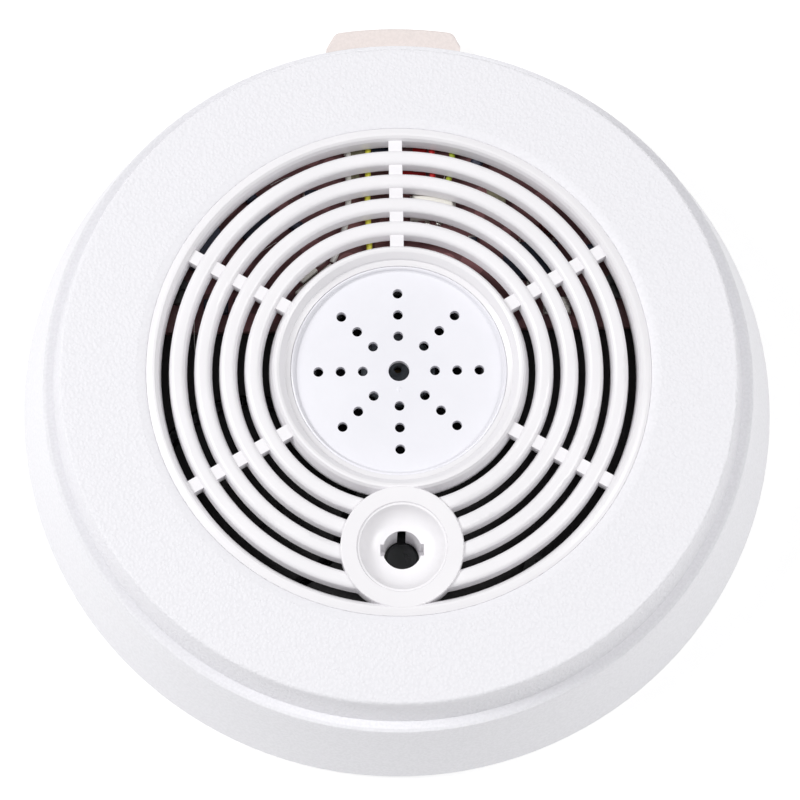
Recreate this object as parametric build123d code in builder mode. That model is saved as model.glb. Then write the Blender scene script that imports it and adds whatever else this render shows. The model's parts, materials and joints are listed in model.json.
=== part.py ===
"""Smoke detector: ceiling bracket, bayonet head, battery drawer and sprung test button.

Frame: origin at the centre of the bracket's back face, +Z towards the front grille,
+Y towards the pull tab of the battery drawer. All sizes are in millimetres.
"""
import os
from math import cos, radians, sin
from build123d import *

os.makedirs("parts", exist_ok=True)

# ---------------------------------------------------------------- driving dimensions
# Levels along Z
plate_top = 2.0          # bracket plate
skirt_bottom = 3.0       # lower edge of the base skirt
back_low = 5.4           # base back plate, underside
back_top = 6.8           # base back plate, inside
ledge_top = 21.1         # shelf the front cover stands on
chassis_low = 19.8
chassis_top = 21.2
board_top = 22.8
disc_top = 25.4          # sounder cap face
ring_low = 25.7
ring_top = 28.6
flange_top = 29.05
boss_top = 29.05

# Radii
bracket_r = 66.5
skirt_r_low = 70.2
skirt_r_high = 64.75
skirt_wall = 1.8
flange_r = 60.8
cover_r_low = 62.6
disc_r = 19.45
ring_centres = [26.2, 30.7, 35.2, 39.7]
horn_r = 16.0
horn_port_y = 3.0       # sound port of the horn, above its centre
board_edge = 8.5        # straight lower edge of the main board, along Y

# Test button
boss_y = -32.9
boss_r = 10.9
dish_r = 8.1
tube_r = 3.15
tube_out = 5.0
tube_end = 16.9
button_top = 17.8

# Smoke chamber
chamber_x = -27.0
chamber_y = -22.0
chamber_r = 17.5

# Battery drawer
drawer_half = 12.2
panel_half = 13.0
cell_r = 5.25
cell_y0 = 18.4
cell_length = 44.5
cell_z = 13.6
tray_low = 7.2
tray_top = 8.2

# Fasteners and hooks
hook_angles = [30, 150, 270]
cover_screw_angles = [35, 145, 255, 325]
cover_screw_r = 53.5
board_posts = [(-40.0, 16.0), (40.0, 16.0), (24.0, -36.0)]


def radial_plane(angle):
    """Upright plane through the main axis: local x points outwards, local y points up."""
    a = radians(angle)
    return Plane(origin=(0, 0, 0), x_dir=(cos(a), sin(a), 0), z_dir=(sin(a), -cos(a), 0))


def skirt_radius(z):
    """Outer radius of the flared base skirt at height z."""
    slope = (skirt_r_low - skirt_r_high) / (ledge_top - 0.7 - skirt_bottom)
    return skirt_r_low - slope * (z - skirt_bottom)


screw_points = []
for angle in cover_screw_angles:
    screw_points.append((cover_screw_r * cos(radians(angle)), cover_screw_r * sin(radians(angle))))

boss_axis = Axis((0, boss_y, 0), (0, 0, 1))
boss_plane = Plane(origin=(0, boss_y, 0), x_dir=(1, 0, 0), z_dir=(0, -1, 0))
chamber_axis = Axis((chamber_x, chamber_y, 0), (0, 0, 1))
chamber_plane = Plane(origin=(chamber_x, chamber_y, 0), x_dir=(1, 0, 0), z_dir=(0, -1, 0))

# ---------------------------------------------------------------- mounting bracket
with BuildPart() as mounting_bracket:
    with BuildSketch(Plane.XZ):
        with BuildLine():
            Polyline(
                (18.0, 0), (bracket_r, 0), (bracket_r, 4.0), (bracket_r - 1.5, 4.0),
                (bracket_r - 1.5, plate_top), (58.0, plate_top), (58.0, 5.0), (56.0, 5.0),
                (56.0, plate_top), (20.0, plate_top), (20.0, 3.4), (18.0, 3.4), close=True,
            )
        make_face()
    revolve(axis=Axis.Z)
    # Bayonet lugs, each with a stop block at its locked end
    for angle in hook_angles:
        with BuildSketch(radial_plane(angle - 1)):
            with Locations((59.25, 4.4)):
                Rectangle(3.5, 1.2)
        revolve(axis=Axis.Z, revolution_arc=19)
        with BuildSketch(radial_plane(angle - 3)):
            with Locations((59.25, 3.5)):
                Rectangle(3.5, 3.0)
        revolve(axis=Axis.Z, revolution_arc=2)
    # Wall screw holes, countersunk from the front
    with Locations((-30, 0, plate_top), (30, 0, plate_top)):
        CounterSinkHole(radius=2.2, counter_sink_radius=3.6)
    # Lightening windows between the screws
    with BuildSketch(Plane.XY):
        with PolarLocations(38, 4, start_angle=45):
            SlotOverall(18, 8, rotation=90)
    extrude(amount=plate_top, mode=Mode.SUBTRACT)
mounting_bracket.part.label = "mounting_bracket"

# ---------------------------------------------------------------- base shell
with BuildPart() as base_shell:
    with BuildSketch(Plane.XZ):
        with BuildLine():
            Polyline(
                (0, back_low), (skirt_radius(back_low) - skirt_wall, back_low),
                (skirt_r_low - skirt_wall, skirt_bottom), (skirt_r_low, skirt_bottom),
                (skirt_r_high, ledge_top - 0.7), (skirt_r_high - 0.25, ledge_top - 0.2),
                (skirt_r_high - 0.8, ledge_top), (58.4, ledge_top), (58.4, 19.4),
                (skirt_radius(19.4) - skirt_wall, 19.4),
                (skirt_radius(back_top) - skirt_wall, back_top), (0, back_top), close=True,
            )
        make_face()
    revolve(axis=Axis.Z)
    # Hooks that reach under the bracket's lugs
    for angle in hook_angles:
        with BuildSketch(radial_plane(angle)):
            with BuildLine():
                Polyline(
                    (61.4, back_low + 0.2), (61.4, 3.4), (58.4, 3.4), (58.4, 2.4),
                    (63.0, 2.4), (63.0, back_low + 0.2), close=True,
                )
            make_face()
        revolve(axis=Axis.Z, revolution_arc=17)
    # Posts for the chassis and seats for the cover screws
    with BuildSketch(Plane.XY.offset(back_top - 0.2)):
        with Locations(*board_posts):
            Circle(2.8)
    extrude(amount=chassis_low - back_top + 0.2)
    with BuildSketch(Plane.XY.offset(back_low)):
        with Locations(*screw_points):
            Circle(3.8)
    extrude(amount=3.0)
    # Seat ring of the smoke chamber and two posts of the switch board
    with BuildSketch(Plane.XY.offset(back_top - 0.2)):
        with Locations((chamber_x, chamber_y)):
            Circle(16.5)
            Circle(14.5, mode=Mode.SUBTRACT)
    extrude(amount=1.4)
    with BuildSketch(Plane.XY.offset(back_top - 0.2)):
        with Locations((-6, boss_y), (6, boss_y)):
            Circle(1.6)
    extrude(amount=2.2)
    # Pilot holes, screw holes and their counterbores
    with BuildSketch(Plane.XY.offset(11.0)):
        with Locations(*board_posts):
            Circle(1.05)
    extrude(amount=12.0, mode=Mode.SUBTRACT)
    with BuildSketch(Plane.XY.offset(back_low)):
        with Locations(*screw_points):
            Circle(1.6)
    extrude(amount=4.0, mode=Mode.SUBTRACT)
    with BuildSketch(Plane.XY.offset(back_low)):
        with Locations(*screw_points):
            Circle(2.8)
    extrude(amount=1.8, mode=Mode.SUBTRACT)
    # Mouth of the battery drawer in the skirt
    with Locations((0, 71.6, 10.4)):
        Box(2 * panel_half + 0.9, 20.4, 18.0, mode=Mode.SUBTRACT)
base_shell.part.label = "base_shell"

# ---------------------------------------------------------------- front cover
with BuildPart() as front_cover:
    with BuildSketch(Plane.XZ):
        with BuildLine():
            Polyline(
                (cover_r_low, ledge_top), (60.4, ledge_top), (59.6, 22.6), (58.7, 25.4),
                (57.8, 26.9), (48.8, 27.0), (48.8, 28.2), (45.25, 28.2), (45.25, 28.55),
                (45.6, 28.75), (46.2, 28.95), (46.9, flange_top), (flange_r - 0.6, flange_top),
            )
            ThreePointArc(
                (flange_r - 0.6, flange_top), (flange_r - 0.18, flange_top - 0.18),
                (flange_r, flange_top - 0.6),
            )
            ThreePointArc((flange_r, flange_top - 0.6), (61.05, 24.6), (cover_r_low, ledge_top))
        make_face()
    revolve(axis=Axis.Z)
    # Screw posts reaching down to the base
    with BuildSketch(Plane.XY.offset(8.4)):
        with Locations(*screw_points):
            Circle(3.2)
            Circle(1.32, mode=Mode.SUBTRACT)
    extrude(amount=18.8)
front_cover.part.label = "front_cover"

# ---------------------------------------------------------------- grille
with BuildPart() as grille:
    # Hub ring around the sounder cap
    with BuildSketch(Plane.XZ):
        with BuildLine():
            Polyline(
                (19.5, 24.6), (19.5, 26.4), (20.45, 26.9), (20.6, 27.4), (21.1, 28.1),
                (21.5, 28.6), (21.9, 28.8), (22.3, 28.75), (22.7, 28.1), (23.4, 25.4),
                (23.4, 24.6),
                close=True,
            )
        make_face()
    revolve(axis=Axis.Z)
    # Round-topped rings
    for radius in ring_centres:
        with BuildSketch(Plane.XZ):
            with BuildLine():
                Polyline(
                    (radius - 1.64, ring_low), (radius - 1.25, ring_top),
                    (radius + 1.25, ring_top), (radius + 1.64, ring_low), close=True,
                )
            make_face()
            fillet(vertices().sort_by(Axis.Y)[-2:], 0.95)
        revolve(axis=Axis.Z)
    # Bezel and the rim that is caught under the front cover
    with BuildSketch(Plane.XZ):
        with BuildLine():
            Polyline(
                (42.76, 25.2), (43.0, 27.8), (43.3, 28.6), (43.7, 29.0), (44.1, 29.0),
                (44.7, 28.8), (45.2, 28.55), (45.2, 28.2), (48.6, 28.2), (48.6, 26.4),
                (45.5, 26.4), (45.5, 25.2), close=True,
            )
        make_face()
    revolve(axis=Axis.Z)
    # Spokes
    with BuildSketch(Plane.XY.offset(25.2)):
        with PolarLocations(32.9, 6, start_angle=30):
            Rectangle(20.6, 2.45)
    extrude(amount=2.7)
    # Button boss and its tube
    with BuildSketch(Plane.XY.offset(24.2)):
        with Locations((0, boss_y)):
            Circle(boss_r)
    extrude(amount=boss_top - 24.2)
    fillet(faces().sort_by(Axis.Z)[-1].edges(), 0.25)
    with BuildSketch(Plane.XY.offset(tube_end)):
        with Locations((0, boss_y)):
            Circle(tube_out)
    extrude(amount=8.0)
    with BuildSketch(boss_plane):
        with BuildLine():
            Polyline((3.45, 25.7), (tube_r, button_top), (tube_r, 16.0), (0, 16.0), (0, 31.0))
            Polyline((0, 31.0), (dish_r, 31.0), (dish_r, boss_top), (7.95, 28.75))
            Polyline((7.95, 28.75), (7.6, 28.7), (7.35, 28.25))
            ThreePointArc((7.35, 28.25), (5.8, 26.4), (3.45, 25.7))
        make_face()
    revolve(axis=boss_axis, mode=Mode.SUBTRACT)
    # Keyways of the tube: one right through, two shallow
    with Locations((0, boss_y + 2.7, 21.1)):
        Box(1.55, 5.4, 8.8, mode=Mode.SUBTRACT)
    with Locations((0, boss_y, 22.2)):
        Box(7.7, 2.1, 8.0, mode=Mode.SUBTRACT)
grille.part.label = "grille"

# ---------------------------------------------------------------- sounder cap
with BuildPart() as sounder_cap:
    with BuildSketch(Plane.XZ):
        with BuildLine():
            Polyline(
                (0, 24.0), (disc_r, 24.0), (disc_r, 26.2), (19.15, 26.3), (18.95, 26.1),
                (18.85, 25.6), (18.6, disc_top), (0, disc_top), close=True,
            )
        make_face()
    revolve(axis=Axis.Z)
    with BuildSketch(Plane.XY.offset(23.0)):
        Circle(1.9)
        for ring_radius in [6.5, 10.5, 14.5]:
            with PolarLocations(ring_radius, 8):
                Circle(0.9)
    extrude(amount=4.0, mode=Mode.SUBTRACT)
sounder_cap.part.label = "sounder_cap"

with BuildPart() as dust_seal:
    with BuildSketch(Plane.XY.offset(23.4)):
        Circle(horn_r)
        Circle(horn_r - 0.9, mode=Mode.SUBTRACT)
    extrude(amount=0.6)
dust_seal.part.label = "dust_seal"

# ---------------------------------------------------------------- horn
with BuildPart() as horn_case:
    with BuildSketch(Plane.XZ):
        with BuildLine():
            Polyline(
                (0, back_top), (horn_r, back_top), (horn_r, 23.4), (14.9, 23.4),
                (14.9, 11.6), (12.6, 11.6), (12.6, 8.4), (0, 8.4), close=True,
            )
        make_face()
    revolve(axis=Axis.Z)
horn_case.part.label = "horn_case"

with BuildPart() as piezo_disc:
    with BuildSketch(Plane.XY.offset(11.6)):
        Circle(14.5)
    extrude(amount=0.4)
    with BuildSketch(Plane.XY.offset(12.0)):
        Circle(10.0)
    extrude(amount=0.2)
piezo_disc.part.label = "piezo_disc"

with BuildPart() as horn_baffle:
    with BuildSketch(Plane.XZ):
        with BuildLine():
            Polyline(
                (0, 13.2), (13.6, 13.2), (13.6, 12.0), (14.8, 12.0), (14.8, 14.0), (0, 14.0),
                close=True,
            )
        make_face()
    revolve(axis=Axis.Z)
    with Locations((0, horn_port_y, 13.6)):
        Cylinder(0.7, 3.0, mode=Mode.SUBTRACT)
horn_baffle.part.label = "horn_baffle"

with BuildPart() as horn_cap:
    with BuildSketch(Plane.XY.offset(14.0)):
        with Locations((0, horn_port_y)):
            Circle(6.9)
            Circle(0.7, mode=Mode.SUBTRACT)
    extrude(amount=1.4)
    fillet(faces().sort_by(Axis.Z)[-1].edges().sort_by(SortBy.LENGTH)[-1], 0.4)
horn_cap.part.label = "horn_cap"

# ---------------------------------------------------------------- chassis and main board
with BuildPart() as chassis:
    with BuildSketch(Plane.XY.offset(chassis_low)):
        Circle(49.5)
        Circle(horn_r + 0.4, mode=Mode.SUBTRACT)
        with Locations((chamber_x, chamber_y)):
            Circle(chamber_r + 1.5, mode=Mode.SUBTRACT)
        with Locations((0, boss_y)):
            Circle(tube_out + 0.6, mode=Mode.SUBTRACT)
        with Locations(*board_posts):
            Circle(1.5, mode=Mode.SUBTRACT)
    extrude(amount=chassis_top - chassis_low)
    # Side walls and end wall of the battery tunnel
    with BuildSketch(Plane.XY.offset(back_top)):
        with Locations((-13.2, 36.2), (13.2, 36.2)):
            Rectangle(1.0, 39.8)
        with Locations((0, 16.7)):
            Rectangle(27.4, 0.8)
    extrude(amount=chassis_low - back_top)
chassis.part.label = "chassis"

with BuildPart() as main_board:
    with BuildSketch(Plane.XY.offset(chassis_top)):
        Circle(48.8)
        Circle(18.6, mode=Mode.SUBTRACT)
        with Locations((0, board_edge - 40.0)):
            Rectangle(110, 80, mode=Mode.SUBTRACT)
        with Locations(*board_posts[:2]):
            Circle(1.5, mode=Mode.SUBTRACT)
    extrude(amount=board_top - chassis_top)
main_board.part.label = "main_board"

# ---------------------------------------------------------------- smoke chamber
with BuildPart() as chamber_base:
    with BuildSketch(Plane.XY.offset(8.0)):
        with Locations((chamber_x, chamber_y)):
            Circle(chamber_r)
    extrude(amount=1.6)
    with BuildSketch(Plane.XY.offset(9.6)):
        with Locations((chamber_x, chamber_y)):
            with PolarLocations(8.6, 2, start_angle=35, angular_range=110):
                Rectangle(4.4, 4.4)
    extrude(amount=2.6)
chamber_base.part.label = "chamber_base"

with BuildPart() as labyrinth:
    with BuildSketch(Plane.XY.offset(9.6)):
        with Locations((chamber_x, chamber_y)):
            Circle(16.6)
            Circle(12.2, mode=Mode.SUBTRACT)
    extrude(amount=0.8)
    with BuildSketch(Plane.XY.offset(10.2)):
        with Locations((chamber_x, chamber_y)):
            with PolarLocations(14.4, 16):
                Rectangle(4.6, 0.9, rotation=48)
    extrude(amount=8.0)
labyrinth.part.label = "labyrinth"

with BuildPart() as chamber_mesh:
    with BuildSketch(Plane.XY.offset(9.6)):
        with Locations((chamber_x, chamber_y)):
            Circle(17.2)
            Circle(16.9, mode=Mode.SUBTRACT)
    extrude(amount=8.6)
chamber_mesh.part.label = "chamber_mesh"

with BuildPart() as chamber_cap:
    with BuildSketch(chamber_plane):
        with BuildLine():
            Polyline(
                (0, 18.2), (chamber_r, 18.2), (chamber_r, 19.4), (16.6, 20.0), (6.0, 20.0),
                (5.0, 19.4), (0, 19.4), close=True,
            )
        make_face()
    revolve(axis=chamber_axis)
chamber_cap.part.label = "chamber_cap"

for name, angle in [("ir_emitter", 35), ("photodiode", 145)]:
    a = radians(angle)
    inward = Plane(
        origin=(chamber_x + 9.6 * cos(a), chamber_y + 9.6 * sin(a), 13.7),
        z_dir=(-cos(a), -sin(a), 0),
    )
    with BuildPart() as optic:
        with BuildSketch(inward):
            Circle(1.5)
        extrude(amount=4.4)
        with BuildSketch(inward):
            Circle(1.5)
        extrude(amount=-0.9)
        fillet(faces().sort_by(Axis((0, 0, 0), (-cos(a), -sin(a), 0)))[-1].edges(), 1.2)
    optic.part.label = name
    export_step(optic.part, f"parts/{name}.step")

# ---------------------------------------------------------------- test button group
with BuildPart() as switch_board:
    with BuildSketch(Plane.XY.offset(8.8)):
        with Locations((0, boss_y)):
            Rectangle(16, 12)
    extrude(amount=1.6)
    edges_up = edges().filter_by(Axis.Z)
    fillet(edges_up, 1.5)
switch_board.part.label = "switch_board"

with BuildPart() as test_switch:
    with BuildSketch(Plane.XY.offset(10.4)):
        with Locations((0, boss_y)):
            Rectangle(6, 6)
    extrude(amount=2.8)
    with BuildSketch(Plane.XY.offset(13.2)):
        with Locations((0, boss_y)):
            Circle(1.7)
    extrude(amount=0.8)
test_switch.part.label = "test_switch"

with BuildPart() as test_button:
    with BuildSketch(boss_plane):
        with BuildLine():
            Polyline(
                (0, 15.5), (5.2, 15.5), (5.2, 16.5), (2.8, 16.5), (2.8, 17.6),
                (2.6, button_top), (0, button_top), close=True,
            )
        make_face()
    revolve(axis=boss_axis)
test_button.part.label = "test_button"

# Closed and ground coil spring between the switch board and the button's flange
with BuildPart() as button_spring:
    with BuildLine(Plane(origin=(0, boss_y, 10.7))):
        coil = Helix(pitch=1.1, height=4.4, radius=4.7)
    with BuildSketch(Plane(origin=coil @ 0, z_dir=coil % 0)):
        Circle(0.25)
    sweep()
    with BuildSketch(Plane.XY.offset(10.4)):
        with Locations((0, boss_y)):
            Circle(5.05)
            Circle(4.35, mode=Mode.SUBTRACT)
    extrude(amount=0.4)
    with BuildSketch(Plane.XY.offset(15.0)):
        with Locations((0, boss_y)):
            Circle(5.05)
            Circle(4.35, mode=Mode.SUBTRACT)
    extrude(amount=0.3)
button_spring.part.label = "button_spring"

# ---------------------------------------------------------------- parts on the main board
chip_sizes = [
    ("controller_chip", (24.5, 21.0), (10.0, 7.0, 1.5), 0),
    ("sounder_driver", (-25.0, 27.5), (6.5, 5.0, 1.3), 40),
    ("filter_capacitor", (18.5, 33.5), (3.4, 5.0, 1.8), 0),
    ("crystal", (29.0, 12.5), (5.0, 3.2, 1.2), 0),
    ("sensor_plug", (-14.1, 16.6), (8.4, 4.0, 1.7), 40),
    ("resistor_1", (-20.5, 34.5), (3.2, 1.6, 0.8), 0),
    ("resistor_2", (-15.5, 34.5), (3.2, 1.6, 0.8), 0),
    ("resistor_3", (0.5, 37.0), (1.6, 3.2, 0.8), 0),
    ("resistor_4", (14.0, 24.5), (1.6, 3.2, 0.8), 0),
    ("diode", (-33.0, 13.0), (4.4, 2.6, 1.6), 0),
]
for name, centre, size, turn in chip_sizes:
    with BuildPart() as chip:
        with BuildSketch(Plane.XY.offset(board_top)):
            with Locations(centre):
                Rectangle(size[0], size[1], rotation=turn)
        extrude(amount=size[2])
        chamfer(faces().sort_by(Axis.Z)[-1].edges(), 0.2)
    chip.part.label = name
    export_step(chip.part, f"parts/{name}.step")

with BuildPart() as horn_inductor:
    with BuildSketch(Plane(origin=(-36.0, 26.0, 0), x_dir=(1, 0, 0), z_dir=(0, -1, 0))):
        with BuildLine():
            Polyline(
                (0, board_top), (4.0, board_top), (4.0, 23.3), (3.0, 23.3), (3.0, 24.6),
                (4.0, 24.6), (4.0, 25.0), (0, 25.0), close=True,
            )
        make_face()
    revolve(axis=Axis((-36.0, 26.0, 0), (0, 0, 1)))
horn_inductor.part.label = "horn_inductor"

with BuildPart() as status_led:
    with BuildSketch(Plane.XY.offset(board_top)):
        with Locations((28.1, 27.6)):
            Circle(1.9)
    extrude(amount=0.7)
    with BuildSketch(Plane.XY.offset(board_top + 0.7)):
        with Locations((28.1, 27.6)):
            Circle(1.5)
    extrude(amount=1.6)
    fillet(faces().sort_by(Axis.Z)[-1].edges(), 1.2)
status_led.part.label = "status_led"

with BuildPart() as wire_header:
    with BuildSketch(Plane.XY.offset(board_top)):
        with Locations((6.8, 31.5)):
            Rectangle(8.4, 4.6)
    extrude(amount=0.8)
wire_header.part.label = "wire_header"

with BuildPart() as wire_plug:
    with BuildSketch(Plane.XY.offset(board_top + 0.8)):
        with Locations((6.8, 31.5)):
            Rectangle(7.4, 3.8)
    extrude(amount=1.8)
    chamfer(faces().sort_by(Axis.Z)[-1].edges(), 0.3)
wire_plug.part.label = "wire_plug"

# Insulated leads on the board, from their terminals to their solder joints
lead_paths = [
    ("lead_yellow", [(-5.0, 20.5, 23.45), (-5.0, 24.0, 23.9), (-5.2, 32.0, 24.1),
                     (-5.0, 40.0, 23.9), (-5.0, 43.8, 23.45)]),
    ("lead_white", [(-11.8, 21.2, 23.6), (-10.6, 24.0, 23.9), (-9.0, 30.0, 24.1),
                    (-8.7, 38.5, 23.9), (-8.7, 42.4, 23.45)]),
    ("lead_red", [(6.8, 33.7, 24.5), (6.8, 36.5, 24.5), (6.9, 40.0, 24.2),
                  (6.8, 43.2, 23.7), (6.8, 44.8, 23.45)]),
    ("lead_green", [(9.2, 33.7, 24.5), (9.6, 36.0, 24.5), (10.5, 39.0, 24.2),
                    (10.5, 42.4, 23.7), (10.5, 44.0, 23.45)]),
]
for name, points in lead_paths:
    with BuildPart() as lead:
        with BuildLine():
            path = Spline(*points)
        with BuildSketch(Plane(origin=path @ 0, z_dir=path % 0)):
            Circle(0.55)
        sweep()
    lead.part.label = name
    export_step(lead.part, f"parts/{name}.step")

# ---------------------------------------------------------------- battery drawer
with BuildPart() as battery_drawer:
    # Tray floor, side walls and front wall
    with BuildSketch(Plane.XY.offset(tray_low)):
        with Locations((0, 43.5)):
            Rectangle(2 * drawer_half, 51.0)
    extrude(amount=tray_top - tray_low)
    with BuildSketch(Plane.XY.offset(tray_low)):
        with Locations((-11.7, 41.0), (11.7, 41.0)):
            Rectangle(1.0, 46.0)
    extrude(amount=7.2)
    with BuildSketch(Plane.XY.offset(tray_low)):
        with Locations((0, 63.8)):
            Rectangle(2 * panel_half, 1.2)
    extrude(amount=19.0 - tray_low)
    # Front panel that carries on the flare of the skirt
    with BuildSketch(Plane.XZ):
        with BuildLine():
            Polyline(
                (skirt_radius(3.2) - skirt_wall, 3.2), (skirt_radius(3.2), 3.2),
                (skirt_radius(19.0), 19.0), (skirt_radius(19.0) - skirt_wall, 19.0), close=True,
            )
        make_face()
    revolve(axis=Axis.Z)
    # Trim the ring to the panel's width and the walls to the skirt
    with BuildSketch(Plane.XY):
        with BuildLine():
            Polyline(
                (-drawer_half, 17.0), (drawer_half, 17.0), (drawer_half, 62.9),
                (panel_half, 62.9), (panel_half, 80.0), (-panel_half, 80.0),
                (-panel_half, 62.9), (-drawer_half, 62.9), close=True,
            )
        make_face()
    extrude(amount=30.0, mode=Mode.INTERSECT)
    with BuildSketch(Plane.XZ):
        with BuildLine():
            Polyline(
                (0, 0), (skirt_radius(0), 0), (skirt_radius(20.0), 20.0), (0, 20.0), close=True
            )
        make_face()
    revolve(axis=Axis.Z, mode=Mode.INTERSECT)
    # Pull tab
    with BuildSketch(Plane.XY.offset(3.2)):
        with BuildLine():
            ThreePointArc((-10.9, 73.7), (0.55, 74.5), (12.0, 73.5))
            Polyline(
                (12.0, 73.5), (13.4, 70.6), (panel_half, 68.2), (-panel_half, 68.2),
                (-12.6, 70.6), (-10.9, 73.7),
            )
        make_face()
        fillet(vertices().sort_by(Axis.Y)[-2:], 1.8)
    extrude(amount=2.4)
    tab_edges = edges().filter_by_position(Axis.Z, 5.55, 5.65)
    fillet(tab_edges.filter_by_position(Axis.Y, 71.0, 76.0), 0.4)
battery_drawer.part.label = "battery_drawer"

for name, x, nub_end in [("battery_cell_left", -5.6, 1), ("battery_cell_right", 5.6, -1)]:
    with BuildPart() as cell:
        start = cell_y0 if nub_end > 0 else cell_y0 + 0.8
        with BuildSketch(Plane(origin=(x, start, cell_z), x_dir=(1, 0, 0), z_dir=(0, 1, 0))):
            Circle(cell_r)
        extrude(amount=cell_length - 0.8)
        fillet(edges().filter_by(GeomType.CIRCLE), 0.5)
        nub_start = cell_y0 + cell_length - 1.8 if nub_end > 0 else cell_y0
        with BuildSketch(Plane(origin=(x, nub_start, cell_z), x_dir=(1, 0, 0), z_dir=(0, 1, 0))):
            Circle(1.9)
        extrude(amount=1.8)
    cell.part.label = name
    export_step(cell.part, f"parts/{name}.step")

with BuildPart() as cell_link:
    with BuildSketch(Plane(origin=(0, 62.95, cell_z), x_dir=(1, 0, 0), z_dir=(0, 1, 0))):
        Rectangle(19.0, 6.0)
    extrude(amount=0.25)
cell_link.part.label = "cell_link"

for name, x in [("contact_negative", -5.6), ("contact_positive", 5.6)]:
    with BuildPart() as contact:
        with BuildSketch(Plane(origin=(x, 17.1, cell_z), x_dir=(1, 0, 0), z_dir=(0, 1, 0))):
            Rectangle(8.0, 8.0)
        extrude(amount=0.4)
        with BuildSketch(Plane(origin=(x, 17.1, cell_z), x_dir=(1, 0, 0), z_dir=(0, 1, 0))):
            Circle(2.2)
        extrude(amount=0.8)
        fillet(faces().sort_by(Axis.Y)[-1].edges(), 0.3)
    contact.part.label = name
    export_step(contact.part, f"parts/{name}.step")

# ---------------------------------------------------------------- screws
for number, point in enumerate(screw_points):
    with BuildPart() as screw:
        with BuildSketch(Plane.XY.offset(5.7)):
            with Locations(point):
                Circle(2.5)
        extrude(amount=1.5)
        with BuildSketch(Plane.XY.offset(7.2)):
            with Locations(point):
                Circle(1.3)
        extrude(amount=9.0)
        with Locations((point[0], point[1], 5.9)):
            Box(3.2, 0.7, 0.8, mode=Mode.SUBTRACT)
            Box(0.7, 3.2, 0.8, mode=Mode.SUBTRACT)
    screw.part.label = f"cover_screw_{number + 1}"
    export_step(screw.part, f"parts/cover_screw_{number + 1}.step")

for number, point in enumerate(board_posts):
    seat = board_top if point[1] > 0 else chassis_top
    with BuildPart() as screw:
        with BuildSketch(Plane.XY.offset(seat)):
            with Locations(point):
                Circle(2.4)
        extrude(amount=1.4)
        with BuildSketch(Plane.XY.offset(seat - 9.0)):
            with Locations(point):
                Circle(1.03)
        extrude(amount=9.0)
        with Locations((point[0], point[1], seat + 1.2)):
            Box(3.0, 0.7, 0.8, mode=Mode.SUBTRACT)
            Box(0.7, 3.0, 0.8, mode=Mode.SUBTRACT)
    screw.part.label = f"board_screw_{number + 1}"
    export_step(screw.part, f"parts/board_screw_{number + 1}.step")

# ---------------------------------------------------------------- export
named_builds = [
    mounting_bracket, base_shell, front_cover, grille, sounder_cap, dust_seal, horn_case,
    piezo_disc, horn_baffle, horn_cap, chassis, main_board, chamber_base, labyrinth, chamber_mesh,
    chamber_cap, switch_board, test_switch, test_button, button_spring, horn_inductor,
    status_led, wire_header, wire_plug, battery_drawer, cell_link,
]
for build in named_builds:
    export_step(build.part, f"parts/{build.part.label}.step")
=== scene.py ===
"""Looks of a round smoke detector: materials, fine detail, floor, light and camera.

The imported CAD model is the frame. Lengths are in metres; MM turns a size in millimetres into metres.
"""
import json
import math
import bmesh
import bpy
from mathutils import Matrix, Vector


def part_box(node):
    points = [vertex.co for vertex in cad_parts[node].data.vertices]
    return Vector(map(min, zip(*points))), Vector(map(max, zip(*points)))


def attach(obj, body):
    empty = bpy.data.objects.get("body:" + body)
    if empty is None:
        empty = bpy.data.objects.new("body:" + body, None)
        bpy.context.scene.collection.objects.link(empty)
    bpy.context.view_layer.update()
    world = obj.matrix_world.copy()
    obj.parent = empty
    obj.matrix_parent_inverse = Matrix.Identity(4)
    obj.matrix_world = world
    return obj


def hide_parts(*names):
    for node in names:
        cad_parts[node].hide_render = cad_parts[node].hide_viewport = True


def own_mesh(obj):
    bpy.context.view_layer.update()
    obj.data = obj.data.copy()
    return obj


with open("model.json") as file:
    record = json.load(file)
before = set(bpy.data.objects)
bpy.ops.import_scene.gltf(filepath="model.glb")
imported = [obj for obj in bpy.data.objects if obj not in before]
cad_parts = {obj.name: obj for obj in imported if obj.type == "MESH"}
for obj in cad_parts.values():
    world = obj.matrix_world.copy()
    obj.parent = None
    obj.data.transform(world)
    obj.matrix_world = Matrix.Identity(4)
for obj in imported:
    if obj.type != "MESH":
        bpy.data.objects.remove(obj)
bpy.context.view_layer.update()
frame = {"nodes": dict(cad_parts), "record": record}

MM = 0.001

# ------------------------------------------------------------------ measures taken from the frame
CAP_DISC_THICKNESS = 1.4 * MM
BOARD_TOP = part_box("main_board")[1].z
BUTTON_LOW, BUTTON_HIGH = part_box("test_button")
MESH_LOW, MESH_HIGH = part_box("chamber_mesh")
DISC_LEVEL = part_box("sounder_cap")[0].z + CAP_DISC_THICKNESS
BUTTON_X = (BUTTON_LOW.x + BUTTON_HIGH.x) / 2
BUTTON_Y = (BUTTON_LOW.y + BUTTON_HIGH.y) / 2
CHAMBER = (MESH_LOW + MESH_HIGH) / 2

# ------------------------------------------------------------------ driving sizes of the looks
# The flange's leather grain sets in between two radii.
LEATHER_START, LEATHER_FULL = 46.2 * MM, 47.0 * MM
LEATHER_DEPTH = 0.085 * MM
SPARK_DEPTH = 0.045 * MM
SHARP_ANGLE = math.radians(35)
FLOOR_DROP = 0.2 * MM
FLOOR_GLOW = 0.62
SURROUND_GLOW = 0.35


# ------------------------------------------------------------------ node helpers
def scaled(colour, share):
    """The colour made darker by a share below one, or lighter by a share above one."""
    return tuple(min(1.0, c * share) for c in colour)


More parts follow.
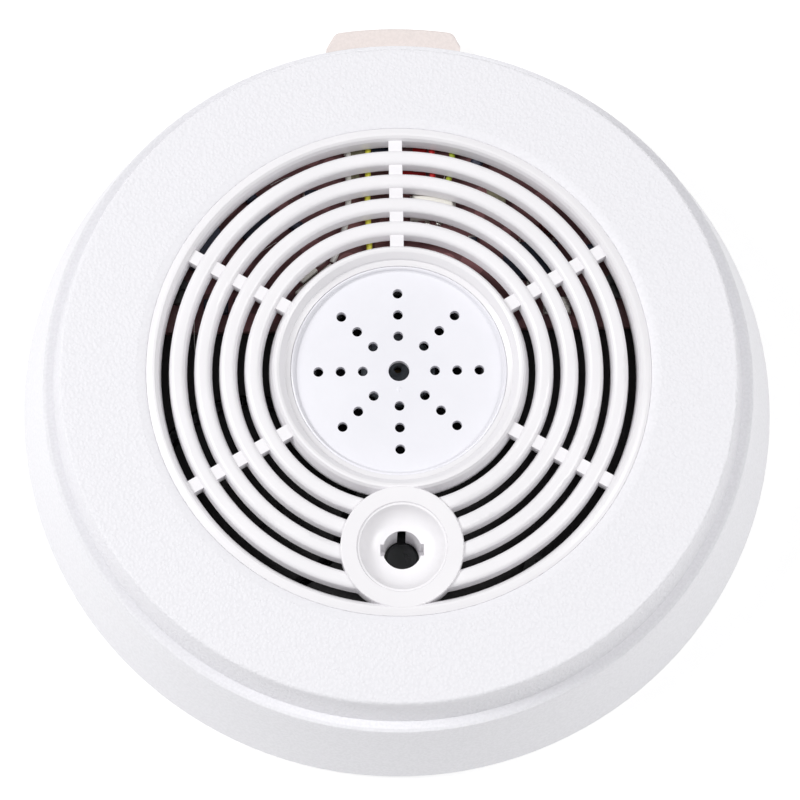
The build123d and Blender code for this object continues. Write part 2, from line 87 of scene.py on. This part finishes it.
class Nodes:
    """A material's node tree with short calls for the nodes used here."""

    def __init__(self, name, colour, roughness):
        self.base = colour
        self.material = bpy.data.materials.new(name)
        self.material.use_nodes = True
        self.tree = self.material.node_tree
        self.shader = self.tree.nodes["Principled BSDF"]
        self.shader.inputs["Base Color"].default_value = (*colour, 1)
        self.shader.inputs["Roughness"].default_value = roughness
        coordinates = self.tree.nodes.new("ShaderNodeTexCoord")
        self.position = coordinates.outputs["Object"]

    def add(self, kind, inputs=(), **settings):
        """Adds a node. An input is either another node's socket or a plain value."""
        node = self.tree.nodes.new(kind)
        for key, value in settings.items():
            setattr(node, key, value)
        for key, value in dict(inputs).items():
            if isinstance(value, bpy.types.NodeSocket):
                self.tree.links.new(value, node.inputs[key])
            else:
                node.inputs[key].default_value = value
        return node

    def noise(self, scale, detail=3.0, roughness=0.5):
        inputs = {"Vector": self.position, "Scale": scale, "Detail": detail, "Roughness": roughness}
        return self.add("ShaderNodeTexNoise", inputs).outputs["Fac"]

    def spread(self, value, low, high, to_low=0.0, to_high=1.0):
        """Stretches the range from low to high over another range, and cuts off what lies outside."""
        inputs = {"Value": value, "From Min": low, "From Max": high, "To Min": to_low, "To Max": to_high}
        return self.add("ShaderNodeMapRange", inputs).outputs["Result"]

    def math(self, operation, a, b):
        return self.add("ShaderNodeMath", {0: a, 1: b}, operation=operation).outputs[0]

    def vector(self, operation, inputs):
        return self.add("ShaderNodeVectorMath", inputs, operation=operation)

    def tint(self, factor, low):
        """Colours the surface from the low colour, where the factor is 0, to its own colour at 1."""
        inputs = {0: factor, 6: (*low, 1), 7: (*self.base, 1)}
        blend = self.add("ShaderNodeMix", inputs, data_type="RGBA")
        self.tree.links.new(blend.outputs[2], self.shader.inputs["Base Color"])

    def mottle(self, share, scale, detail, low=0.35, high=0.65):
        """Darkens the colour to a share of itself in soft patches."""
        self.tint(self.spread(self.noise(scale, detail), low, high), scaled(self.base, share))

    def rough(self, socket):
        self.tree.links.new(socket, self.shader.inputs["Roughness"])

    def bump(self, height, depth):
        inputs = {"Height": height, "Distance": depth, "Strength": 1.0}
        node = self.add("ShaderNodeBump", inputs)
        self.tree.links.new(node.outputs["Normal"], self.shader.inputs["Normal"])


# ------------------------------------------------------------------ materials
def smooth_plastic(name, colour, roughness=0.32):
    """Moulded plastic with a polished tool face: faint flow in the gloss and very shallow orange peel."""
    n = Nodes(name, colour, roughness)
    n.shader.inputs["Coat Weight"].default_value = 0.15
    n.shader.inputs["Coat Roughness"].default_value = 0.2
    n.mottle(0.965, 60, 4)
    n.rough(n.spread(n.noise(240, 3), 0.3, 0.7, roughness - 0.04, roughness + 0.06))
    n.bump(n.noise(900, 2), 0.02 * MM)
    return n.material


def leather_plastic(name, colour):
    """Matt plastic moulded with a fine leather grain, left smooth along the flange's inner edge."""
    n = Nodes(name, colour, 0.5)
    wander = n.add("ShaderNodeTexNoise", {"Vector": n.position, "Scale": 1300.0, "Detail": 3.0})
    shift = n.vector("SCALE", {0: wander.outputs["Color"], "Scale": 0.45 * MM})
    moved = n.vector("ADD", {0: n.position, 1: shift.outputs[0]}).outputs[0]
    inputs = {"Vector": moved, "Scale": 1800.0, "Smoothness": 0.5}
    pebbles = n.add("ShaderNodeTexVoronoi", inputs, feature="SMOOTH_F1").outputs["Distance"]
    domes = n.spread(pebbles, 0.15, 0.75, 1.0, 0.0)
    grain = n.math("ADD", domes, n.math("MULTIPLY", n.noise(3400, 3), 0.4))
    across = n.vector("MULTIPLY", {0: n.position, 1: (1, 1, 0)}).outputs[0]
    reach = n.vector("LENGTH", {0: across}).outputs["Value"]
    grained = n.spread(reach, LEATHER_START, LEATHER_FULL)
    # The creases between the grain's pebbles are painted a little darker: painted shade in the creases.
    n.tint(n.spread(domes, 0.0, 0.6), scaled(colour, 0.965))
    n.rough(n.spread(domes, 0.0, 1.0, 0.6, 0.5))
    n.bump(n.math("MULTIPLY", grain, grained), LEATHER_DEPTH)
    return n.material


def spark_plastic(name, colour, roughness=0.5):
    """Matt plastic with the fine even texture of a spark-eroded tool."""
    n = Nodes(name, colour, roughness)
    grain = n.math("ADD", n.noise(3600, 4, 0.65), n.math("MULTIPLY", n.noise(1500, 3), 0.6))
    n.mottle(0.95, 1900, 3, 0.4, 0.6)
    n.rough(n.spread(n.noise(3000, 3), 0.3, 0.7, roughness - 0.05, roughness + 0.08))
    n.bump(grain, SPARK_DEPTH)
    return n.material


def brushed_metal(name, colour, roughness=0.3):
    """Plated or drawn metal with fine streaks and small stains."""
    n = Nodes(name, colour, roughness)
    n.shader.inputs["Metallic"].default_value = 1.0
    stretch = n.add("ShaderNodeMapping", {"Vector": n.position, "Scale": (300.0, 4000.0, 300.0)})
    inputs = {"Vector": stretch.outputs[0], "Scale": 1.0, "Detail": 4.0}
    streaks = n.add("ShaderNodeTexNoise", inputs).outputs["Fac"]
    n.rough(n.spread(streaks, 0.3, 0.7, roughness - 0.08, roughness + 0.14))
    n.mottle(0.8, 500, 4)
    n.bump(streaks, 0.01 * MM)
    return n.material


def solder_mask(name, colour):
    """Circuit board: semi-gloss mask over faintly raised copper."""
    n = Nodes(name, colour, 0.34)
    weave = n.add("ShaderNodeTexBrick", {"Vector": n.position, "Scale": 520.0, "Mortar Size": 0.03})
    cells = n.add("ShaderNodeTexVoronoi", {"Vector": n.position, "Scale": 160.0}).outputs["Distance"]
    tracks = n.spread(cells, 0.35, 0.37)
    n.tint(tracks, scaled(colour, 1.7))
    n.rough(n.spread(n.noise(700, 3), 0.3, 0.7, 0.28, 0.42))
    n.bump(n.math("ADD", tracks, n.math("MULTIPLY", weave.outputs["Fac"], 0.2)), 0.03 * MM)
    return n.material


def insulation(name, colour):
    """Satin PVC wire insulation with slight unevenness."""
    n = Nodes(name, colour, 0.38)
    n.shader.inputs["Coat Weight"].default_value = 0.2
    n.mottle(0.85, 350, 3)
    n.bump(n.noise(1600, 2), 0.02 * MM)
    return n.material


def epoxy(name, colour, roughness=0.55):
    """Moulded epoxy, ceramic or foam: fine pits and uneven tone."""
    n = Nodes(name, colour, roughness)
    n.mottle(0.75, 1800, 4, 0.4, 0.6)
    n.bump(n.noise(4200, 3, 0.7), 0.02 * MM)
    return n.material


def lens(name, colour):
    """Tinted clear lens of a lamp or sensor."""
    n = Nodes(name, colour, 0.08)
    n.shader.inputs["Transmission Weight"].default_value = 0.35
    n.shader.inputs["Coat Weight"].default_value = 0.6
    n.mottle(0.7, 900, 2, 0.4, 0.6)
    return n.material


def floor_material():
    """Plain pale floor that glows faintly, as a light table does, so that shadows on it stay weak."""
    n = Nodes("floor_paper", (0.505, 0.505, 0.505), 0.8)
    n.shader.inputs["Emission Color"].default_value = (1.0, 1.0, 1.0, 1)
    n.shader.inputs["Emission Strength"].default_value = FLOOR_GLOW
    n.tint(n.spread(n.noise(40, 3), 0.3, 0.7), (0.495, 0.495, 0.495))
    return n.material


PAINT = {
    "shell_plastic": spark_plastic("shell_white", (0.86, 0.855, 0.89)),
    "textured_plastic": leather_plastic("flange_white", (0.855, 0.848, 0.885)),
    "grille_plastic": smooth_plastic("grille_white", (0.9, 0.885, 0.91)),
    "cap_plastic": smooth_plastic("cap_white", (0.865, 0.86, 0.91), 0.36),
    # The drawer is the shell's white plastic painted darker and pinker: painted shade, as on its pull tab in
    # shade.
    "drawer_plastic": spark_plastic("drawer_white_painted_shade", (0.80, 0.73, 0.71)),
    "bracket_plastic": spark_plastic("bracket_white", (0.82, 0.82, 0.83), 0.45),
    "black_plastic": spark_plastic("chassis_black", (0.012, 0.010, 0.012), 0.5),
    "grey_plastic": spark_plastic("horn_grey", (0.5, 0.55, 0.62), 0.4),
    "button_plastic": smooth_plastic("button_black", (0.012, 0.014, 0.016), 0.3),
    "board": solder_mask("board_maroon", (0.2, 0.09, 0.095)),
    "chip_plastic": epoxy("chip_black", (0.02, 0.025, 0.05)),
    "capacitor_body": epoxy("capacitor_olive", (0.27, 0.25, 0.17), 0.35),
    "connector_plastic": smooth_plastic("connector_white", (0.8, 0.78, 0.72), 0.4),
    "led_red": lens("led_red", (0.12, 0.01, 0.01)),
    "tinted_lens": lens("lens_dark", (0.03, 0.02, 0.05)),
    "yellow_insulation": insulation("wire_yellow", (0.9, 0.85, 0.1)),
    "white_insulation": insulation("wire_white", (0.88, 0.87, 0.84)),
    "red_insulation": insulation("wire_red", (0.5, 0.02, 0.02)),
    "green_insulation": insulation("wire_green", (0.42, 0.5, 0.05)),
    "brass_disc": brushed_metal("disc_brass", (0.72, 0.53, 0.25), 0.32),
    "foam_seal": epoxy("foam_black", (0.02, 0.02, 0.02), 0.9),
    "steel_mesh": brushed_metal("mesh_steel", (0.42, 0.42, 0.43), 0.35),
    "plated_steel": brushed_metal("plate_nickel", (0.72, 0.7, 0.65), 0.25),
    "spring_steel": brushed_metal("wire_steel", (0.55, 0.55, 0.56), 0.3),
    "screw_steel": brushed_metal("screw_zinc", (0.6, 0.6, 0.6), 0.3),
    "black_screw": epoxy("screw_phosphate", (0.02, 0.02, 0.02), 0.4),
    "cell_can": smooth_plastic("cell_sleeve", (0.07, 0.16, 0.1), 0.3),
}
SLOT_OF = {s["node"]: s["material_slot"] for s in frame["record"]["subparts"]}


def finish_cad_nodes():
    """Gives every CAD node the material of its slot."""
    for name, node in frame["nodes"].items():
        node.data.materials.clear()
        node.data.materials.append(PAINT[SLOT_OF[name]])


# ------------------------------------------------------------------ piece helpers
def place(mesh, name, body, slot, smooth=True):
    """Links a finished mesh as a piece on a body, with its slot's material."""
    if smooth:
        mesh.shade_smooth()
        mesh.set_sharp_from_angle(angle=SHARP_ANGLE)
    mesh.materials.append(PAINT[slot])
    piece = bpy.data.objects.new(name, mesh)
    bpy.context.scene.collection.objects.link(piece)
    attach(piece, body)
    return piece


def from_bmesh(shape, name, body, slot, smooth=True):
    """Turns a finished shape into a mesh and places it."""
    mesh = bpy.data.meshes.new(name)
    bmesh.ops.recalc_face_normals(shape, faces=shape.faces)
    shape.to_mesh(mesh)
    shape.free()
    return place(mesh, name, body, slot, smooth)


def add_lathe(shape, profile, centre, steps, axis="Z"):
    """Turns a closed outline of (radius, height) points about an axis through centre."""
    turn = {"Z": Matrix.Identity(3), "Y": Matrix.Rotation(math.radians(-90), 3, "X")}[axis]
    rings = []
    for step in range(steps):
        a = 2 * math.pi * step / steps
        around = [Vector((r * math.cos(a), r * math.sin(a), h)) for r, h in profile]
        rings.append([shape.verts.new(turn @ p + Vector(centre)) for p in around])
    for ring, following in zip(rings, rings[1:] + rings[:1]):
        for i in range(len(profile)):
            j = (i + 1) % len(profile)
            shape.faces.new((ring[i], following[i], following[j], ring[j]))
    bmesh.ops.remove_doubles(shape, verts=shape.verts, dist=1e-7)


def add_block(shape, centre, size, turn=0.0, bevel=0.0):
    """Adds a box turned about Z, with its edges rounded where a bevel is given."""
    matrix = Matrix.Translation(centre) @ Matrix.Rotation(turn, 4, "Z") @ Matrix.Diagonal((*size, 1))
    made = bmesh.ops.create_cube(shape, size=1.0, matrix=matrix)
    if bevel:
        edges = list({e for v in made["verts"] for e in v.link_edges})
        bmesh.ops.bevel(shape, geom=edges, offset=bevel, segments=2, affect="EDGES", profile=0.6)


def add_drop(shape, centre, radius, height):
    """Adds a round drop of solder. Height is that of the half above its centre."""
    matrix = Matrix.Translation(centre) @ Matrix.Diagonal((radius, radius, height, 1))
    bmesh.ops.create_uvsphere(shape, u_segments=16, v_segments=8, radius=1.0, matrix=matrix)


def wire(points, radius, name, body, slot):
    """A round wire, meshed along a smooth line led by its points."""
    curve = bpy.data.curves.new(name, "CURVE")
    curve.dimensions = "3D"
    curve.bevel_depth = radius
    curve.bevel_resolution = 4
    curve.use_fill_caps = True
    spline = curve.splines.new("NURBS")
    spline.points.add(len(points) - 1)
    for point, place_at in zip(spline.points, points):
        point.co = (*place_at, 1)
    spline.order_u = 3
    spline.use_endpoint_u = True
    spline.resolution_u = 4
    route = bpy.data.objects.new(name + "_route", curve)
    mesh = bpy.data.meshes.new_from_object(route)
    bpy.data.objects.remove(route)
    bpy.data.curves.remove(curve)
    mesh.materials.clear()
    return place(mesh, name, body, slot)


# ------------------------------------------------------------------ detailed pieces
def make_button_spring():
    """Coil spring with closed ends between the switch board and the button."""
    bottom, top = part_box("button_spring")
    wire_radius = 0.25 * MM
    turns, closed_turns, steps_a_turn = 5, 0.8, 24
    radius = (top.x - bottom.x) / 2 - wire_radius
    low, high = bottom.z + wire_radius, top.z - wire_radius
    steps = turns * steps_a_turn
    points = []
    for step in range(steps + 1):
        share = step / steps
        climb = min(1.0, max(0.0, (share * turns - closed_turns) / (turns - 2 * closed_turns)))
        a = 2 * math.pi * turns * share
        x, y = BUTTON_X + radius * math.cos(a), BUTTON_Y + radius * math.sin(a)
        points.append((x, y, low + (high - low) * climb))
    piece = wire(points, wire_radius, "coil_spring", "head", "spring_steel")
    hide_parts("button_spring")
    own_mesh(piece)


def make_insect_screen():
    """Insect screen round the smoke chamber: hoops and uprights of fine wire."""
    hoops, uprights, hoop_corners = 12, 96, 6
    inset, hoop_wire, upright_wire = 0.15 * MM, 0.1 * MM, 0.16 * MM
    radius = (MESH_HIGH.x - MESH_LOW.x) / 2 - inset
    height = MESH_HIGH.z - MESH_LOW.z
    corners = [2 * math.pi * corner / hoop_corners for corner in range(hoop_corners)]
    outline = [(radius + hoop_wire * math.cos(a), hoop_wire * math.sin(a)) for a in corners]
    shape = bmesh.new()
    # Each upright crosses the hoops at one of their corners.
    for hoop in range(hoops):
        z = MESH_LOW.z + inset + (height - 2 * inset) * hoop / (hoops - 1)
        add_lathe(shape, outline, (CHAMBER.x, CHAMBER.y, z), uprights)
    for upright in range(uprights):
        a = 2 * math.pi * upright / uprights
        centre = (CHAMBER.x + radius * math.cos(a), CHAMBER.y + radius * math.sin(a), CHAMBER.z)
        add_block(shape, centre, (upright_wire, upright_wire, height), a)
    piece = from_bmesh(shape, "insect_screen", "head", "steel_mesh")
    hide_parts("chamber_mesh")


def make_solder_joints():
    """Solder drops at the leads' far ends, along the header and at both ends of the inductor."""
    lead_drop, pin_drop, coil_drop = (0.95 * MM, 0.6 * MM), (0.6 * MM, 0.4 * MM), (0.8 * MM, 0.5 * MM)
    pins = 4
    shape = bmesh.new()
    yellow_low, yellow_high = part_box("lead_yellow")
    lead_radius = (yellow_high.x - yellow_low.x) / 2
    for lead in ("lead_yellow", "lead_white", "lead_red", "lead_green"):
        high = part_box(lead)[1]
        add_drop(shape, (high.x - lead_radius, high.y + 0.2 * MM, BOARD_TOP), *lead_drop)
    header_low, header_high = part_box("wire_header")
    for pin in range(pins):
        x = header_low.x + (pin + 0.5) * (header_high.x - header_low.x) / pins
        add_drop(shape, (x, header_low.y - 0.5 * MM, BOARD_TOP), *pin_drop)
    coil_low, coil_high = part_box("horn_inductor")
    for x in (coil_low.x - 0.4 * MM, coil_high.x + 0.4 * MM):
        add_drop(shape, (x, (coil_low.y + coil_high.y) / 2, BOARD_TOP), *coil_drop)
    from_bmesh(shape, "solder_joints", "head", "plated_steel")


def make_chip_legs(chip, count):
    """Gull-wing legs along the two long sides of a chip, each a shoulder, a shin and a foot."""
    low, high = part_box(chip)
    width, sheet, stretch = 0.4 * MM, 0.15 * MM, 0.6 * MM
    flat, upright = (width, stretch, sheet), (width, sheet, stretch)
    bends = [(0.2 * MM, 0.6 * MM, flat), (0.5 * MM, 0.36 * MM, upright), (0.8 * MM, 0.09 * MM, flat)]
    shape = bmesh.new()
    length = high.x - low.x
    for leg in range(count):
        x = low.x + (leg + 0.5) * length / count
        for side, edge in ((-1, low.y), (1, high.y)):
            for outwards, upwards, size in bends:
                add_block(shape, (x, edge + side * outwards, low.z + upwards), size)
    from_bmesh(shape, chip + "_legs", "head", "plated_steel", smooth=False)


def make_resistor_caps():
    """Plated end caps over the chip resistors' ends."""
    cap_length, inset, wrap, rounding = 0.42 * MM, 0.18 * MM, 0.06 * MM, 0.05 * MM
    shape = bmesh.new()
    for number in range(1, 5):
        low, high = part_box(f"resistor_{number}")
        middle, size = (low + high) / 2, high - low
        along = 0 if size.x > size.y else 1
        for side in (-1, 1):
            centre = middle.copy()
            centre[along] += side * (size[along] / 2 - inset)
            cap = size + Vector((wrap, wrap, wrap))
            cap[along] = cap_length
            add_block(shape, centre, cap, bevel=rounding)
    from_bmesh(shape, "resistor_caps", "head", "plated_steel")


def make_board_cans():
    """Small electrolytic cans lying on the board, each with a groove near one end."""
    radius, length, rounding = 1.15 * MM, 4.6 * MM, 0.15 * MM
    outline = [
        (0, 0), (radius * 0.9, 0), (radius, rounding),
        (radius, 0.7 * MM), (radius * 0.88, 0.9 * MM), (radius, 1.1 * MM),
        (radius, length - rounding), (radius * 0.9, length), (0, length),
    ]
    places = [
        (-17.5, 27.5, 0.9), (-27.5, 15.0, 2.4), (-27.5, 35.0, 0.6), (14.5, 39.0, -0.5), (34.5, 22.5, 1.9),
    ]
    for number, (x, y, turn) in enumerate(places, 1):
        shape = bmesh.new()
        add_lathe(shape, outline, (0, -length / 2, 0), 28, "Y")
        laid = Matrix.Translation((x * MM, y * MM, BOARD_TOP + radius)) @ Matrix.Rotation(turn, 4, "Z")
        bmesh.ops.transform(shape, matrix=laid, verts=shape.verts)
        from_bmesh(shape, f"electrolytic_can_{number}", "head", "chip_plastic")


def make_cell_ends():
    """Bare steel end discs of the cells, inside their shrunk sleeves."""
    radius, rim, thickness = 4.3 * MM, 0.2 * MM, 0.12 * MM
    outline = [(0, 0), (radius, 0), (radius + rim, thickness / 2), (radius, thickness), (0, thickness)]
    for side in ("left", "right"):
        low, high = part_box(f"battery_cell_{side}")
        centre = (low + high) / 2
        flat_end = low.y if side == "left" else high.y
        shape = bmesh.new()
        add_lathe(shape, outline, (centre.x, flat_end - thickness / 2, centre.z), 40, "Y")
        from_bmesh(shape, f"cell_end_{side}", "drawer", "plated_steel")


def make_board_parts():
    """Low parts on the board, as rows of x, y, width, depth and height in millimetres."""
    kinds = {
        "plug_latches": ("connector_plastic", [(-16.4, 19.0, 3.6, 1.8, 1.5), (-14.1, 21.5, 1.8, 1.2, 1.2)]),
        "olive_pad": ("capacitor_body", [(-7.0, 42.6, 3.0, 3.6, 0.7), (-8.0, 38.0, 2.6, 2.4, 0.5)]),
        "dark_arrays": ("chip_plastic", [
            (-2.4, 42.9, 3.6, 2.0, 1.0), (-23.6, 39.2, 4.6, 2.2, 1.0),
            (12.6, 34.2, 2.0, 2.6, 0.8), (-35.5, 20.5, 2.4, 4.4, 1.1),
        ]),
        "red_tapes": ("red_insulation", [
            (3.4, 37.9, 4.4, 1.8, 0.3), (-17.8, 40.6, 3.4, 1.6, 0.3), (4.6, 42.9, 2.6, 1.8, 0.3),
        ]),
    }
    rounding = 0.12 * MM
    for name, (slot, blocks) in kinds.items():
        shape = bmesh.new()
        for x, y, width, depth, height in blocks:
            centre = (x * MM, y * MM, BOARD_TOP + height / 2 * MM)
            facing = -math.atan2(x, y)
            add_block(shape, centre, (width * MM, depth * MM, height * MM), facing, rounding)
        from_bmesh(shape, name, "head", slot)


def make_glue_strands():
    """Hair-thin strands of hot glue that rise from the board and come back down to it."""
    strand_radius = 0.07 * MM
    heights = (0.05, 1.3, 0.9, 0.05)
    routes = [
        [(-33.0, 19.0), (-29.0, 23.5), (-26.5, 22.0), (-22.0, 25.5)],
        [(-37.0, 10.5), (-37.0, 1.0), (-33.5, -2.0), (-33.5, 10.0)],
        [(14.0, 24.5), (17.5, 22.0), (18.5, 18.5), (22.0, 17.5)],
        [(-12.0, 38.0), (-16.5, 36.5), (-19.0, 38.5), (-23.0, 36.5)],
        [(8.2, 35.6), (9.4, 37.6), (9.0, 39.4), (10.6, 41.0)],
    ]
    for number, route in enumerate(routes, 1):
        points = [(x * MM, y * MM, BOARD_TOP + z * MM) for (x, y), z in zip(route, heights)]
        wire(points, strand_radius, f"glue_strand_{number}", "head", "white_insulation")


def make_gate_mark():
    """Small moulding gate mark below the middle of the sounder cap."""
    off_centre = -3.4 * MM
    outline = [
        (0, -0.1 * MM), (0.5 * MM, -0.1 * MM), (0.45 * MM, 0.05 * MM), (0.25 * MM, 0.12 * MM), (0, 0.14 * MM),
    ]
    shape = bmesh.new()
    add_lathe(shape, outline, (0, off_centre, DISC_LEVEL), 24)
    from_bmesh(shape, "gate_mark", "head", "cap_plastic")


# ------------------------------------------------------------------ camera, light and floor
def add_camera():
    """A long lens nearly straight over the front, tilted so that the button's side is nearer."""
    tilt, turn, roll = math.radians(14.67), math.radians(-3.70), math.radians(2.81)
    offset = Vector((0.195, -5.238, 468.0))
    rotation = Matrix.Rotation(turn, 3, "Z") @ Matrix.Rotation(tilt, 3, "X") @ Matrix.Rotation(roll, 3, "Z")
    data = bpy.data.cameras.new("camera")
    data.sensor_width = 36.0
    data.lens = 117.0
    data.clip_start, data.clip_end = 0.01, 10.0
    camera = bpy.data.objects.new("camera", data)
    camera.rotation_euler = rotation.to_euler()
    camera.location = rotation @ offset * MM + Vector((0, 0, DISC_LEVEL))
    bpy.context.scene.collection.objects.link(camera)
    bpy.context.scene.camera = camera


def add_area_light(name, location, size, power):
    """A round soft lamp that faces the origin."""
    data = bpy.data.lights.new(name, "AREA")
    data.shape = "DISK"
    data.size = size
    data.energy = power
    light = bpy.data.objects.new(name, data)
    light.location = location
    light.rotation_euler = (-Vector(location)).to_track_quat("-Z", "Y").to_euler()
    bpy.context.scene.collection.objects.link(light)


def add_stage():
    """White floor, even white surroundings and two large soft lamps."""
    half = 3.0
    mesh = bpy.data.meshes.new("floor")
    corners = [(-half, -half, 0), (half, -half, 0), (half, half, 0), (-half, half, 0)]
    mesh.from_pydata(corners, [], [(0, 1, 2, 3)])
    floor = bpy.data.objects.new("floor", mesh)
    floor.location.z = -FLOOR_DROP
    bpy.context.scene.collection.objects.link(floor)
    mesh.materials.append(floor_material())
    world = bpy.data.worlds.new("studio")
    world.use_nodes = True
    background = world.node_tree.nodes["Background"]
    background.inputs["Color"].default_value = (1.0, 1.0, 1.0, 1)
    background.inputs["Strength"].default_value = SURROUND_GLOW
    bpy.context.scene.world = world
    add_area_light("key_lamp", (-0.8, 0.08, 0.9), size=0.45, power=8.5)
    add_area_light("fill_lamp", (0.7, -0.1, 0.95), size=0.6, power=5.3)
    bpy.context.scene.view_settings.view_transform = "Standard"


add_camera()
add_stage()
finish_cad_nodes()
make_button_spring()
make_insect_screen()
make_solder_joints()
make_chip_legs("controller_chip", 8)
make_resistor_caps()
make_board_cans()
make_cell_ends()
make_board_parts()
make_glue_strands()
make_gate_mark()
